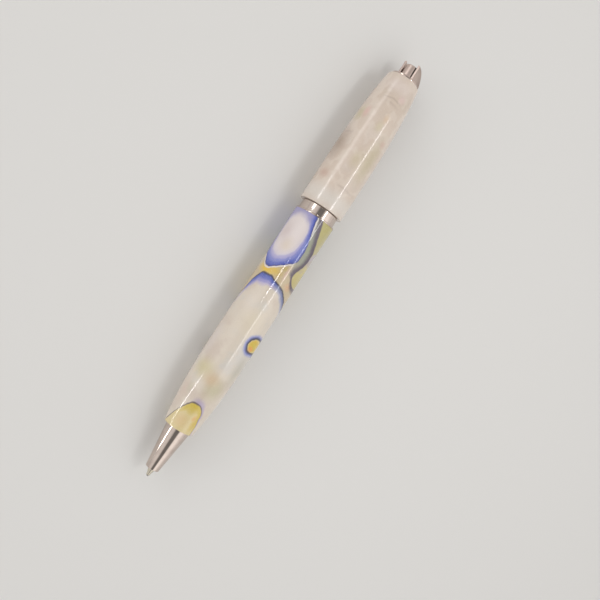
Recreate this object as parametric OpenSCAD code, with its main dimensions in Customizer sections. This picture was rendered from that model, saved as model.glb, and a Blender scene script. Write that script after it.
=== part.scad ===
// Mini ballpoint pen with a twist action, lying on its side.
// Each piece is drawn upright on the pen's axis, with height 0 at the mouth of the nose,
// and lay() then turns the whole pen onto its side. There it rests on the belly of the
// lower barrel, on the rim of the cap and on the ball of the clip.

/* [Nose] */
// Length of the nose cone below the lower barrel
nose_len = 11.6; // [9:0.1:14]
// Radius of the nose cone where it meets the lower barrel
nose_base_r = 3.15; // [3.1:0.05:3.7]
// Radius of the nose cone at its mouth
nose_mouth_r = 1.75; // [1.4:0.05:1.9]
// Length of the spigot pressed into the lower tube
nose_spigot_len = 7; // [4:0.5:10]
// Length of the narrow guide bore at the mouth
nose_guide_len = 3; // [2:0.1:5]

/* [Lower barrel] */
// Length of the lower barrel
lower_len = 58.8; // [56:0.1:64]
// Radius of the lower barrel at the nose end
lower_foot_r = 3.95; // [3.8:0.05:4.6]
// Radius of the lower barrel at its belly
lower_belly_r = 5.35; // [5:0.05:5.6]
// Height of the belly above the nose end
lower_belly_h = 22; // [16:0.5:30]
// Radius of the lower barrel at the band
lower_head_r = 5.2; // [4.9:0.05:5.5]
// Outside radius of the brass tube in the lower barrel
lower_tube_r = 3; // [2.95:0.05:3.1]

/* [Centre band] */
// Thickness of the thin trim ring on the lower barrel
ring_t = 0.35; // [0.2:0.05:0.8]
// Radius of the centre band
band_r = 4.75; // [4.3:0.05:5]
// Height of the centre band
band_h = 2.3; // [1.5:0.1:4]

/* [Cap] */
// Length of the upper barrel
cap_len = 36.4; // [33:0.1:42]
// Radius of the straight land at the lower end of the upper barrel
cap_rim_r = 5.7; // [5.65:0.05:6.2]
// Length of the straight land
cap_land_len = 7; // [4:0.5:9]
// Radius of the upper barrel at its top
cap_head_r = 4.2; // [4.1:0.05:4.6]
// Radius of the rounded edge at the top
cap_edge_r = 0.35; // [0.1:0.05:0.5]
// Outside radius of the brass tube in the upper barrel
upper_tube_r = 3.5; // [3.4:0.05:3.6]
// Wall of both brass tubes
tube_wall = 0.3; // [0.2:0.05:0.35]

/* [Clip] */
// Width of the clip's head
clip_head_w = 4.3; // [4.1:0.1:4.8]
// Width of the clip's arm below the head
clip_arm_w = 2.4; // [1.8:0.1:3]
// Thickness of the clip's arm
clip_t = 0.7; // [0.5:0.05:0.9]
// Height of the clip's head above the cap
clip_head_h = 4.8; // [4.6:0.1:6]
// Drop of the clip's ball below the top of the cap
clip_drop = 23.4; // [18:0.2:26]
// Radius of the ball at the end of the clip
clip_ball_r = 1.2; // [0.9:0.05:1.4]
// Radius of the clip's seat plate on top of the cap
clip_seat_r = 3.65; // [3.6:0.05:3.7]
// Thickness of the clip's seat plate
clip_seat_t = 0.6; // [0.4:0.05:1]

/* [Finial] */
// Radius of the finial above the clip's seat plate
finial_r = 1.7; // [1.65:0.05:1.75]
// Height of the finial's flat top above the cap
finial_h = 3.8; // [3:0.05:4.5]
// Radius of the finial's shank
finial_shank_r = 1.3; // [1:0.05:1.5]
// Length of the plug that holds the shank
plug_len = 6; // [4:0.5:9]

/* [Twist mechanism] */
// Travel of the refill from extended to retracted
travel = 4.5; // [3.5:0.1:5]
// Turn of the cap that gives this travel, in degrees
turn = 180; // [150:5:200]
// Length of the guide sleeve up to the lip above its slots
sleeve_len = 12.5; // [11:0.5:15]
// Wall of the guide sleeve
sleeve_wall = 0.5; // [0.4:0.05:0.55]
// Wall of the cam tube
cam_wall = 0.5; // [0.4:0.05:0.55]
// Radius of the cross pin that rides in both pairs of slots
pin_r = 0.45; // [0.35:0.05:0.5]
// Height of the ring of sleeve left above the straight slots
sleeve_lip = 1; // [0.6:0.1:1.6]
// Thickness of the ring that holds the cam tube in the sleeve
retainer_t = 0.9; // [0.6:0.1:1.5]
// Length of the bush that the cap is pushed onto
bush_len = 8.5; // [6:0.5:12]

/* [Refill] */
// Length of the refill from the writing ball to its open end
refill_len = 67; // [66:0.5:68]
// Radius of the refill tube
refill_r = 1.175; // [1.1:0.025:1.2]
// Wall of the refill tube
refill_wall = 0.2; // [0.15:0.05:0.3]
// Length of the writing point ahead of the mouth when extended
point_out = 2.2; // [1.5:0.1:2.6]
// Length of the metal tip
tip_len = 6; // [4.5:0.5:8]
// Radius of the writing ball
ball_r = 0.35; // [0.25:0.05:0.5]
// Length of refill held in the carrier
grip_len = 4; // [3:0.5:5]

/* [Hidden] */
$fn = 96;

// Running clearance on a radius, between pieces that turn or slide on each other
run_gap = 0.05;
// Gap between faces that turn past each other
turn_gap = 0.1;
// Gap round the cross pin in its slots
slot_gap = 0.1;
// Gap round the finial in the clip's head
pocket_gap = 0.22;
// Press-on clearance between the cap's tube and the bush
push_gap = 0.03;
// Small bevel on turned edges
bevel = 0.12;
// Cut that reaches past a face
past = 1;

// Slope of the lower barrel's outline at the nose end and at the band
lower_foot_slope = 0.16;
lower_head_slope = 0.012;
// Slope of the upper barrel's outline at its top
cap_head_slope = -0.158;
// Steps along a curved outline
outline_steps = 12;

// Heights of the stack, from the mouth of the nose upwards
lower_base = nose_len;
ring_base = lower_base + lower_len;
band_base = ring_base + ring_t;
band_top = band_base + band_h;
cap_base = band_top + turn_gap;
cap_top = cap_base + cap_len;

// Radii of the nested tubes
lower_bore_r = lower_tube_r - tube_wall;
upper_bore_r = upper_tube_r - tube_wall;
cam_r = lower_bore_r - sleeve_wall - run_gap;
cam_bore_r = cam_r - cam_wall;
carrier_r = cam_bore_r - run_gap;
guide_r = refill_r + run_gap + 0.025;
spigot_bore_r = lower_bore_r - 0.9;

// Heights of the mechanism with the point extended: it stands on the end of the refill,
// and its sleeve reaches at least to the top of the band
refill_top = refill_len - point_out;
refill_base = tip_len - point_out;
pin_seat = 1.7;
pin_h = refill_top + pin_seat + pin_r;
pin_up_h = pin_h + travel;
lip_top = pin_up_h + pin_r + slot_gap + sleeve_lip;
sleeve_base = lip_top - sleeve_len;
sleeve_top = max(lip_top, band_top);
cam_base = sleeve_base - turn_gap - retainer_t;
bush_base = sleeve_top + turn_gap;
cam_crown = 1;
cam_top = bush_base + bush_len - cam_crown;
carrier_crown = 1.2;
pin_reach = lower_bore_r - run_gap;

// Helical slot: wide enough across for the pin at the outside of the cam tube
slot_over = pin_r + slot_gap + 0.2;
slot_climb = atan(travel / (turn / 180 * PI * cam_r));
slot_w = 2 * (pin_r + slot_gap) / sin(slot_climb);

// The clip's arch in its own plane: distance out from the axis and height above the cap
head_front = -1;
pocket_r = finial_r + pocket_gap;
arch_out = cap_head_r + 1.3;
arch_foot = -1.5;
arm_end_w = 1.5;
ball_h = cap_top - clip_drop;
ball_out = cap_radius(ball_h - cap_base) + run_gap + clip_ball_r;

// How the pen lies: the tilt that rests belly and cap rim, the roll that rests the ball
belly_h = lower_base + lower_belly_h;
tilt = atan((cap_rim_r - lower_belly_r) / (cap_base + bevel - belly_h));
axis_h = cap_rim_r * cos(tilt) - (cap_base + bevel) * sin(tilt);
roll = acos((axis_h + ball_h * sin(tilt) - clip_ball_r) / (ball_out * cos(tilt)));
mid_h = (cap_top + clip_head_h - point_out) / 2;
mid_side = (ball_out * sin(roll) + clip_ball_r - cap_rim_r) / 2;

function ease(t, a, b, ma, mb) = (2 * t ^ 3 - 3 * t ^ 2 + 1) * a + (t ^ 3 - 2 * t ^ 2 + t) * ma
    + (3 * t ^ 2 - 2 * t ^ 3) * b + (t ^ 3 - t ^ 2) * mb;

function bezier(t, a, b, c, d) = (1 - t) ^ 3 * a + 3 * t * (1 - t) ^ 2 * b
    + 3 * t ^ 2 * (1 - t) * c + t ^ 3 * d;

// Radius of the lower barrel at height h above its nose end
function lower_radius(h) = h < lower_belly_h
    ? ease(h / lower_belly_h, lower_foot_r, lower_belly_r, lower_foot_slope * lower_belly_h, 0)
    : ease((h - lower_belly_h) / (lower_len - lower_belly_h), lower_belly_r, lower_head_r,
        0, lower_head_slope * (lower_len - lower_belly_h));

// Radius of the upper barrel at height h above its rim
function cap_radius(h) = h < cap_land_len ? cap_rim_r
    : ease((h - cap_land_len) / (cap_len - cap_land_len), cap_rim_r, cap_head_r,
        0, cap_head_slope * (cap_len - cap_land_len));

module lay() {
    translate([-mid_h * cos(tilt), mid_side, axis_h])
        rotate([0, 90 - tilt, 0]) rotate([0, 0, -roll]) children();
}

module tube(r_out, r_in, base, top) {
    translate([0, 0, base]) difference() {
        cylinder(r = r_out, h = top - base);
        translate([0, 0, -past]) cylinder(r = r_in, h = top - base + 2 * past);
    }
}

module nose_cone() {
    lip = 0.2;
    color("silver") lay() rotate_extrude() polygon(concat(
        [[guide_r, 0]],
        [for (a = [0:15:75]) [nose_mouth_r - lip + lip * sin(a), lip - lip * cos(a)]],
        [[nose_base_r, nose_len - bevel], [nose_base_r - bevel, nose_len],
            [lower_bore_r, nose_len], [lower_bore_r, nose_len + nose_spigot_len],
            [spigot_bore_r, nose_len + nose_spigot_len],
            [spigot_bore_r, nose_guide_len + spigot_bore_r - guide_r],
            [guide_r, nose_guide_len]]));
}

module lower_barrel() {
    color("ivory") lay() translate([0, 0, lower_base]) rotate_extrude() polygon(concat(
        [[lower_tube_r, 0], [lower_foot_r - bevel, 0]],
        [for (i = [0:outline_steps - 1]) let (h = bevel + i * (lower_belly_h - bevel) / outline_steps)
            [lower_radius(h), h]],
        [for (i = [0:outline_steps])
            let (h = lower_belly_h + i * (lower_len - bevel - lower_belly_h) / outline_steps)
            [lower_radius(h), h]],
        [[lower_head_r - bevel, lower_len], [lower_tube_r, lower_len]]));
}

module lower_tube() {
    color("goldenrod") lay() tube(lower_tube_r, lower_bore_r, lower_base, ring_base);
}

module trim_ring() {
    color("silver") lay() tube(lower_head_r, lower_bore_r, ring_base, band_base);
}

module centre_band() {
    color("silver") lay() translate([0, 0, band_base]) rotate_extrude() polygon([
        [lower_bore_r, 0], [band_r, 0], [band_r, band_h - bevel],
        [band_r - bevel, band_h], [lower_bore_r, band_h]]);
}

// Brass sleeve with two straight slots that keep the cross pin from turning
module guide_sleeve() {
    slot_len = travel + 2 * (pin_r + slot_gap);
    slot_base = pin_h - pin_r - slot_gap;
    slot_across = 2 * (pin_r + slot_gap);
    color("khaki") lay() difference() {
        tube(lower_bore_r, cam_r + run_gap, sleeve_base, sleeve_top);
        translate([-lower_bore_r - past, -slot_across / 2, slot_base])
            cube([2 * (lower_bore_r + past), slot_across, slot_len]);
    }
}

// Cam tube with a two-start helical slot: a turn of the cap lifts or lowers the cross pin
module cam_tube() {
    rise = travel + 2 * slot_over;
    slot_turn = turn * rise / travel;
    lead_in = turn * slot_over / travel;
    color("gainsboro") lay() difference() {
        translate([0, 0, cam_base]) cylinder(r = cam_r, h = cam_top - cam_base);
        translate([0, 0, cam_base - past])
            cylinder(r = cam_bore_r, h = cam_top - cam_base - cam_crown + past);
        translate([0, 0, pin_h - slot_over]) rotate([0, 0, lead_in])
            linear_extrude(height = rise, twist = slot_turn, slices = 24)
                square([2 * (cam_r + past), slot_w], center = true);
    }
}

module cam_retainer() {
    color("dimgray") lay() tube(lower_bore_r - turn_gap, cam_r, cam_base, cam_base + retainer_t);
}

// Bush pressed onto the cam tube: the cap's tube is pushed over it
module cap_bush() {
    lead = 0.4;
    color("darkgray") lay() translate([0, 0, bush_base]) rotate_extrude() polygon([
        [cam_r, 0], [upper_bore_r - push_gap, 0], [upper_bore_r - push_gap, bush_len - lead],
        [upper_bore_r - push_gap - lead, bush_len], [cam_r, bush_len]]);
}

module refill_carrier() {
    color("whitesmoke") lay() difference() {
        translate([0, 0, refill_top - grip_len])
            cylinder(r = carrier_r, h = pin_h + carrier_crown - refill_top + grip_len);
        translate([0, 0, refill_top - grip_len - past]) cylinder(r = refill_r, h = grip_len + past);
        translate([0, 0, pin_h]) rotate([0, 90, 0])
            cylinder(r = pin_r, h = 2 * (carrier_r + past), center = true);
    }
}

module cross_pin() {
    color("silver") lay() translate([0, 0, pin_h]) rotate([0, 90, 0])
        cylinder(r = pin_r, h = 2 * pin_reach, center = true);
}

module refill_tube() {
    color("goldenrod") lay() tube(refill_r, refill_r - refill_wall, refill_base, refill_top);
}

// Nickel silver tip: a neck pressed into the tube, a cylinder and a long cone to the ball
module refill_tip() {
    neck = 2;
    cone_len = 2.6;
    seat_r = ball_r + 0.1;
    seat_h = -point_out + ball_r;
    color("lightgray") lay() difference() {
        rotate_extrude() polygon([[0, seat_h], [seat_r, seat_h], [refill_r, seat_h + cone_len],
            [refill_r, refill_base], [refill_r - refill_wall, refill_base],
            [refill_r - refill_wall, refill_base + neck], [0, refill_base + neck]]);
        translate([0, 0, seat_h]) sphere(r = ball_r);
    }
}

module writing_ball() {
    color("dimgray") lay() translate([0, 0, ball_r - point_out]) sphere(r = ball_r);
}

module ink() {
    fill = 0.8;
    ink_base = refill_base + 2;
    color("navy") lay() translate([0, 0, ink_base])
        cylinder(r = refill_r - refill_wall, h = fill * (refill_top - ink_base));
}

module upper_barrel() {
    top_h = cap_len - cap_edge_r;
    edge_out = cap_radius(top_h) - cap_edge_r;
    color("linen") lay() translate([0, 0, cap_base]) rotate_extrude() polygon(concat(
        [[upper_tube_r, 0], [cap_rim_r - bevel, 0], [cap_rim_r, bevel]],
        [for (i = [0:2 * outline_steps])
            let (h = cap_land_len + i * (top_h - cap_land_len) / (2 * outline_steps))
            [cap_radius(h), h]],
        [for (a = [15:15:90]) [edge_out + cap_edge_r * cos(a), top_h + cap_edge_r * sin(a)]],
        [[upper_tube_r, cap_len]]));
}

module upper_tube() {
    color("goldenrod") lay() tube(upper_tube_r, upper_bore_r, cap_base, cap_top);
}

module top_plug() {
    color("khaki") lay() tube(upper_bore_r, finial_shank_r, cap_top - plug_len, cap_top);
}

// Side outline of the clip: the arch over the cap's edge and the arm down to the ball
module clip_side() {
    arm_top = [arch_out, arch_foot];
    arm_low = [ball_out, -clip_drop];
    arch = [for (i = [0:outline_steps]) bezier(i / outline_steps, [head_front, clip_head_h - 0.05],
        [0.4 * arch_out, clip_head_h + 0.1], [arch_out - 0.9, 0.46 * clip_head_h], arm_top)];
    under = [for (i = [0:outline_steps]) bezier(i / outline_steps, [arch_out - clip_t, arch_foot],
        [arch_out - clip_t, arch_foot + 1], [clip_seat_r + 0.35, 0.2], [clip_seat_r, clip_seat_t])];
    polygon(concat([[head_front, 0]], arch,
        [arm_low + [clip_t / 2, 0], arm_low - [clip_t / 2, 0]], under, [[clip_seat_r, 0]]));
}

// Front outline of the clip: a wide head with rounded shoulders, narrowing to the arm
module clip_front() {
    shoulder = 0.3;
    hw = clip_head_w / 2;
    polygon(concat(
        [for (a = [0:15:90])
            [hw - shoulder + shoulder * cos(a), clip_head_h - shoulder + shoulder * sin(a)]],
        [for (a = [90:15:180])
            [-hw + shoulder + shoulder * cos(a), clip_head_h - shoulder + shoulder * sin(a)]],
        [[-hw, 1], [-clip_arm_w / 2, -4], [-arm_end_w / 2, -clip_drop],
            [arm_end_w / 2, -clip_drop], [clip_arm_w / 2, -4], [hw, 1]]));
}

module clip() {
    color("silver") lay() translate([0, 0, cap_top]) {
        difference() {
            union() {
                intersection() {
                    rotate([90, 0, 0]) linear_extrude(height = clip_head_w + past, center = true)
                        clip_side();
                    rotate([90, 0, 90]) linear_extrude(height = 2 * (ball_out + past), center = true)
                        clip_front();
                }
                cylinder(r = clip_seat_r, h = clip_seat_t);
            }
            translate([0, 0, clip_seat_t]) cylinder(r = pocket_r, h = clip_head_h);
            translate([0, 0, -past]) cylinder(r = finial_shank_r, h = clip_head_h);
        }
        translate([ball_out, 0, -clip_drop]) sphere(r = clip_ball_r);
    }
}

module finial() {
    edge = 0.15;
    waist = 0.15;
    color("silver") lay() translate([0, 0, cap_top]) rotate_extrude() polygon([
        [0, -plug_len], [finial_shank_r, -plug_len], [finial_shank_r, clip_seat_t],
        [finial_r, clip_seat_t], [finial_r - waist, finial_h - edge],
        [finial_r - waist - edge, finial_h], [0, finial_h]]);
}

nose_cone();
lower_barrel();
lower_tube();
trim_ring();
centre_band();
guide_sleeve();
cam_tube();
cam_retainer();
cap_bush();
refill_carrier();
cross_pin();
refill_tube();
refill_tip();
writing_ball();
ink();
upper_barrel();
upper_tube();
top_plug();
clip();
finial();
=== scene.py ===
import math

import bmesh
import bpy
from mathutils import Matrix, Vector


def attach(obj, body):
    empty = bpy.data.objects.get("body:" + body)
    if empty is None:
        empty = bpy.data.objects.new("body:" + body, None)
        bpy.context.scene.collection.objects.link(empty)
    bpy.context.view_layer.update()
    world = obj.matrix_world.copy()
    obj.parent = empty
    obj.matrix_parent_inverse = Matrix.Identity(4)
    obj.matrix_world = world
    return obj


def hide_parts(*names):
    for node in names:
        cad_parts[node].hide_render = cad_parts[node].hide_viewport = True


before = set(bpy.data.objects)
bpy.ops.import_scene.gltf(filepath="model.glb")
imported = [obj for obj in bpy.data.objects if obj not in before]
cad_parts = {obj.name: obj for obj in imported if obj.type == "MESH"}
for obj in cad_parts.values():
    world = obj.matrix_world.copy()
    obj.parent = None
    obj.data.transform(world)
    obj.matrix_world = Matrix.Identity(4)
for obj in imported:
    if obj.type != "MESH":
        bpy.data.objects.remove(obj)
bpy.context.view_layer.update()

# ---- The pen's measures, in millimetres, as in the part's source ----

MM = 0.001

# Heights up the pen's axis, from the mouth of the nose
LOWER_BASE = 11.6
RING_BASE = 70.4
BAND_BASE = 70.75
BAND_TOP = 73.05
CAP_BASE = 73.15
CAP_TOP = 109.55

NOSE_MOUTH_R = 1.75
NOSE_BASE_R = 3.15
NOSE_SPIGOT_LEN = 7.0
NOSE_GUIDE_LEN = 3.0
NOSE_GUIDE_R = 1.25
SPIGOT_BORE_R = 1.8
LOWER_FOOT_R = 3.95
LOWER_BELLY_R = 5.35
LOWER_BELLY_H = 22.0
LOWER_HEAD_R = 5.2
# How fast the barrels' radii grow at their ends, per millimetre up the axis
LOWER_FOOT_SLOPE = 0.16
LOWER_HEAD_SLOPE = 0.012
CAP_HEAD_SLOPE = -0.158
LOWER_TUBE_R = 3.0
LOWER_BORE_R = 2.7
BAND_R = 4.75
CAP_RIM_R = 5.7
CAP_LAND_LEN = 7.0
CAP_HEAD_R = 4.2
CAP_EDGE_R = 0.35
UPPER_TUBE_R = 3.5
CLIP_HEAD_W = 4.3
CLIP_ARM_W = 2.4
CLIP_END_W = 1.5
CLIP_T = 0.7
CLIP_HEAD_H = 4.8
CLIP_DROP = 23.4
CLIP_BALL_R = 1.2
CLIP_SEAT_R = 3.65
CLIP_SEAT_T = 0.6
CLIP_FRONT = -1.0
CLIP_SHOULDER = 0.3
CLIP_POCKET_R = 1.92
SHANK_R = 1.3
PLUG_LEN = 6.0
REFILL_R = 1.175
POINT_OUT = 2.2
TIP_LEN = 6.0
BALL_R = 0.35
RUN_GAP = 0.05
BEVEL = 0.12

# Finer than in the part's source: the finial is 0.06 slimmer and 0.4 taller, for a clear slit
# beside it. It stays inside the clip's height.
FINIAL_R = 1.64
FINIAL_H = 4.2
HEAD_TOP = CAP_TOP + CLIP_HEAD_H
SEAT_TOP = CAP_TOP + CLIP_SEAT_T


def ease(t, start, end, start_slope, end_slope):
    """A smooth curve from start, where t is 0, to end, where it is 1, with these end slopes."""
    return (
        (2 * t**3 - 3 * t**2 + 1) * start
        + (t**3 - 2 * t**2 + t) * start_slope
        + (3 * t**2 - 2 * t**3) * end
        + (t**3 - t**2) * end_slope
    )


def lower_radius(height):
    """Radius of the lower barrel, this far above its nose end."""
    length = RING_BASE - LOWER_BASE
    if height < LOWER_BELLY_H:
        start_slope = LOWER_FOOT_SLOPE * LOWER_BELLY_H
        return ease(height / LOWER_BELLY_H, LOWER_FOOT_R, LOWER_BELLY_R, start_slope, 0)
    rest = length - LOWER_BELLY_H
    share = (height - LOWER_BELLY_H) / rest
    return ease(share, LOWER_BELLY_R, LOWER_HEAD_R, 0, LOWER_HEAD_SLOPE * rest)


def cap_radius(height):
    """Radius of the upper barrel, this far above its rim."""
    if height < CAP_LAND_LEN:
        return CAP_RIM_R
    rest = CAP_TOP - CAP_BASE - CAP_LAND_LEN
    share = (height - CAP_LAND_LEN) / rest
    return ease(share, CAP_RIM_R, CAP_HEAD_R, 0, CAP_HEAD_SLOPE * rest)


# ---- How the pen lies: on its belly, its cap's rim and its clip's ball ----

BELLY_H = LOWER_BASE + LOWER_BELLY_H
TILT = math.atan((CAP_RIM_R - LOWER_BELLY_R) / (CAP_BASE + BEVEL - BELLY_H))
AXIS_H = CAP_RIM_R * math.cos(TILT) - (CAP_BASE + BEVEL) * math.sin(TILT)
BALL_H = CAP_TOP - CLIP_DROP
BALL_OUT = cap_radius(BALL_H - CAP_BASE) + RUN_GAP + CLIP_BALL_R
ROLL = math.acos((AXIS_H + BALL_H * math.sin(TILT) - CLIP_BALL_R) / (BALL_OUT * math.cos(TILT)))
MID_H = (HEAD_TOP - POINT_OUT) / 2
MID_SIDE = (BALL_OUT * math.sin(ROLL) + CLIP_BALL_R - CAP_RIM_R) / 2

# Pieces are made upright in millimetres, on the pen's own axis, and LAY puts them in the frame
LAY = (
    Matrix.Translation(Vector((-MID_H * math.cos(TILT), MID_SIDE, AXIS_H)) * MM)
    @ Matrix.Rotation(math.pi / 2 - TILT, 4, "Y")
    @ Matrix.Rotation(-ROLL, 4, "Z")
    @ Matrix.Scale(MM, 4)
)

# The side of the pen that the camera faces is this far round from the clip. FACE has its x out
# towards the camera and its z up the pen's axis, in millimetres.
FACING = math.radians(-150)
FACE = LAY @ Matrix.Rotation(FACING, 4, "Z")
PEN_OUT, PEN_ASIDE, PEN_UP = (
    (FACE.to_3x3() @ Vector(axis)).normalized() for axis in ((1, 0, 0), (0, 1, 0), (0, 0, 1))
)


# ---- Values over a surface, made of nodes ----


class Field:
    """A value at every point of a surface, which sums as a number does."""

    def __init__(self, tree, socket):
        self.tree, self.socket = tree, socket

    def math(self, operation, *others):
        step = self.tree.nodes.new("ShaderNodeMath")
        step.operation = operation
        for place, value in enumerate((self, *others)):
            feed(self.tree, value, step.inputs[place])
        return Field(self.tree, step.outputs[0])

    def __add__(self, other):
        return self.math("ADD", other)

    def __sub__(self, other):
        return self.math("SUBTRACT", other)

    def __mul__(self, other):
        return self.math("MULTIPLY", other)

    def __truediv__(self, other):
        return self.math("DIVIDE", other)

    def __neg__(self):
        return self * -1

    def __rsub__(self, other):
        return -self + other

    def least(self, other, blend=0.0):
        return self.math("SMOOTH_MIN", other, blend)

    def most(self, other):
        return self.math("MAXIMUM", other)

    def rise(self, low, high):
        """0 below low, 1 above high, smooth between; with low above high it falls."""
        step = self.tree.nodes.new("ShaderNodeMapRange")
        step.interpolation_type = "SMOOTHSTEP"
        feed(self.tree, self, step.inputs["Value"])
        ends = (low, high, 0.0, 1.0) if low < high else (high, low, 1.0, 0.0)
        for name, value in zip(("From Min", "From Max", "To Min", "To Max"), ends):
            step.inputs[name].default_value = value
        return Field(self.tree, step.outputs["Result"])

    def follow(self, points):
        """The height, at this value, of a smooth line through the points."""
        low, high = points[0][0], points[-1][0]
        least, most = min(y for _, y in points), max(y for _, y in points)
        span = max(most - least, 1e-6)
        step = self.tree.nodes.new("ShaderNodeFloatCurve")
        line = step.mapping.curves[0]
        spots = [((x - low) / (high - low), (y - least) / span) for x, y in points]
        line.points[0].location = spots[0]
        line.points[-1].location = spots[-1]
        for spot in spots[1:-1]:
            line.points.new(*spot)
        for point in line.points:
            point.handle_type = "AUTO_CLAMPED"
        step.mapping.update()
        feed(self.tree, (self - low) / (high - low), step.inputs["Value"])
        return Field(self.tree, step.outputs["Value"]) * span + least


def feed(tree, value, socket):
    """Links a field to a socket, or sets the socket to a plain value."""
    if isinstance(value, Field):
        tree.links.new(value.socket, socket)
    else:
        socket.default_value = value


def paint(red, green, blue):
    """A colour as it is seen on a screen, 0 to 255, as the linear colour of a node."""
    seen = [c / 255 for c in (red, green, blue)]
    return (*[c / 12.92 if c <= 0.04045 else ((c + 0.055) / 1.055) ** 2.4 for c in seen], 1.0)


def layer(tree, below, above, mask):
    """The colour above laid over the colour below where the mask is 1."""
    mix = tree.nodes.new("ShaderNodeMix")
    mix.data_type = "RGBA"
    feed(tree, mask, mix.inputs[0])
    feed(tree, below, mix.inputs[6])
    feed(tree, above, mix.inputs[7])
    return Field(tree, mix.outputs[2])


def bands(tree, value, stops):
    """The colours of the stops, in order of the value, smoothly joined."""
    ramp = tree.nodes.new("ShaderNodeValToRGB")
    ramp.color_ramp.interpolation = "EASE"
    low, high = stops[0][0], stops[-1][0]
    for at, colour in stops[1:-1]:
        ramp.color_ramp.elements.new((at - low) / (high - low)).color = paint(*colour)
    ramp.color_ramp.elements[0].color = paint(*stops[0][1])
    ramp.color_ramp.elements[-1].color = paint(*stops[-1][1])
    feed(tree, (value - low) / (high - low), ramp.inputs[0])
    return Field(tree, ramp.outputs[0])


def grain(tree, place, scale, detail=2.0, roughness=0.5, stretch=(1, 1, 1), shift=0.0):
    """Noise from 0 to 1 over the place, which is in millimetres; a shift gives other noise."""
    if stretch != (1, 1, 1) or shift:
        turn = tree.nodes.new("ShaderNodeMapping")
        turn.inputs["Scale"].default_value = stretch
        turn.inputs["Location"].default_value = (shift, shift, shift)
        feed(tree, place, turn.inputs["Vector"])
        place = Field(tree, turn.outputs[0])
    noise = tree.nodes.new("ShaderNodeTexNoise")
    feed(tree, place, noise.inputs["Vector"])
    noise.inputs["Scale"].default_value = scale
    noise.inputs["Detail"].default_value = detail
    noise.inputs["Roughness"].default_value = roughness
    return Field(tree, noise.outputs["Fac"])


def new_group(name, inputs, outputs):
    """A shader node group with these sockets, its inputs as fields, and its output node."""
    tree = bpy.data.node_groups.new(name, "ShaderNodeTree")
    for label, value in inputs:
        socket = tree.interface.new_socket(
            name=label, in_out="INPUT", socket_type="NodeSocketFloat"
        )
        socket.default_value = value
    for label, kind in outputs:
        tree.interface.new_socket(name=label, in_out="OUTPUT", socket_type=kind)
    start = tree.nodes.new("NodeGroupInput")
    end = tree.nodes.new("NodeGroupOutput")
    return tree, {label: Field(tree, start.outputs[label]) for label, _ in inputs}, end


def use_group(tree, group, **values):
    """Places a group in a tree, with its inputs set or linked, and gives its outputs."""
    step = tree.nodes.new("ShaderNodeGroup")
    step.node_tree = group
    for label, value in values.items():
        feed(tree, value, step.inputs[label.replace("_", " ")])
    return {socket.name: Field(tree, socket) for socket in step.outputs}


COLOUR, VALUE, VECTOR = "NodeSocketColor", "NodeSocketFloat", "NodeSocketVector"


def pen_place_group():
    """Where a point is on the pen: degrees round from the camera's side, mm up the axis and out."""
    tree, _, end = new_group(
        "pen_place", [],
        [("Around", VALUE), ("Along", VALUE), ("Out", VALUE), ("Place", VECTOR)]
    )
    coordinate = tree.nodes.new("ShaderNodeTexCoord")
    turn = tree.nodes.new("ShaderNodeMapping")
    turn.vector_type = "TEXTURE"
    turn.inputs["Location"].default_value = FACE.translation
    turn.inputs["Rotation"].default_value = FACE.to_3x3().normalized().to_euler("XYZ")
    turn.inputs["Scale"].default_value = (MM, MM, MM)
    tree.links.new(coordinate.outputs["Object"], turn.inputs["Vector"])
    split = tree.nodes.new("ShaderNodeSeparateXYZ")
    tree.links.new(turn.outputs[0], split.inputs[0])
    x, y, z = (Field(tree, split.outputs[i]) for i in range(3))
    around = y.math("ARCTAN2", x) * math.degrees(1)
    tree.links.new(around.socket, end.inputs["Around"])
    tree.links.new(z.socket, end.inputs["Along"])
    out = (x * x + y * y).math("SQRT")
    tree.links.new(out.socket, end.inputs["Out"])
    tree.links.new(turn.outputs[0], end.inputs["Place"])
    return tree


PEN_PLACE = pen_place_group()
DEGREE = math.radians(5.25)  # mm round the lower barrel in one degree, at a radius of 5.25


def round_blob(around, along, centre, half_width, height, half_height):
    """1 at the centre of a soft oval on the barrel, 0 outside it. Width in degrees."""
    side = (around - centre).math("WRAP", 180.0, -180.0) / half_width
    up = (along - height) / half_height
    return (side * side + up * up).math("SQRT").rise(1.0, 0.0)


def patches(tree, colour, around, along, rows):
    """Soft ovals of colour laid over a colour, one after the other.

    Each row has the middle and half the width in degrees, the middle and half the height in mm,
    the patch's colour and its share at the middle.
    """
    for centre, half_width, height, half_height, tint, share in rows:
        mask = round_blob(around, along, centre, half_width, height, half_height) * share
        colour = layer(tree, colour, paint(*tint), mask)
    return colour


def oval_reach(around, along, centre, left, right, height, below, above):
    """0 at the centre of an oval and 1 on its edge; its four half sizes are given."""
    side = (around - centre).math("WRAP", 180.0, -180.0)
    side = side.most(0.0) / right + (-side).most(0.0) / left
    up = along - height
    up = up.most(0.0) / above + (-up).most(0.0) / below
    return (side * side + up * up).math("SQRT")


def mica(tree, place, colour, scale, light, light_share, dark):
    """Fine mica that lightens and darkens the colour a little; also gives its flakes."""
    flake = grain(tree, place, scale, 4.0, 0.65)
    colour = layer(tree, colour, paint(*light), flake.rise(0.52, 0.8) * light_share)
    return layer(tree, colour, paint(*dark), flake.rise(0.46, 0.2) * 0.12), flake


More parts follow.
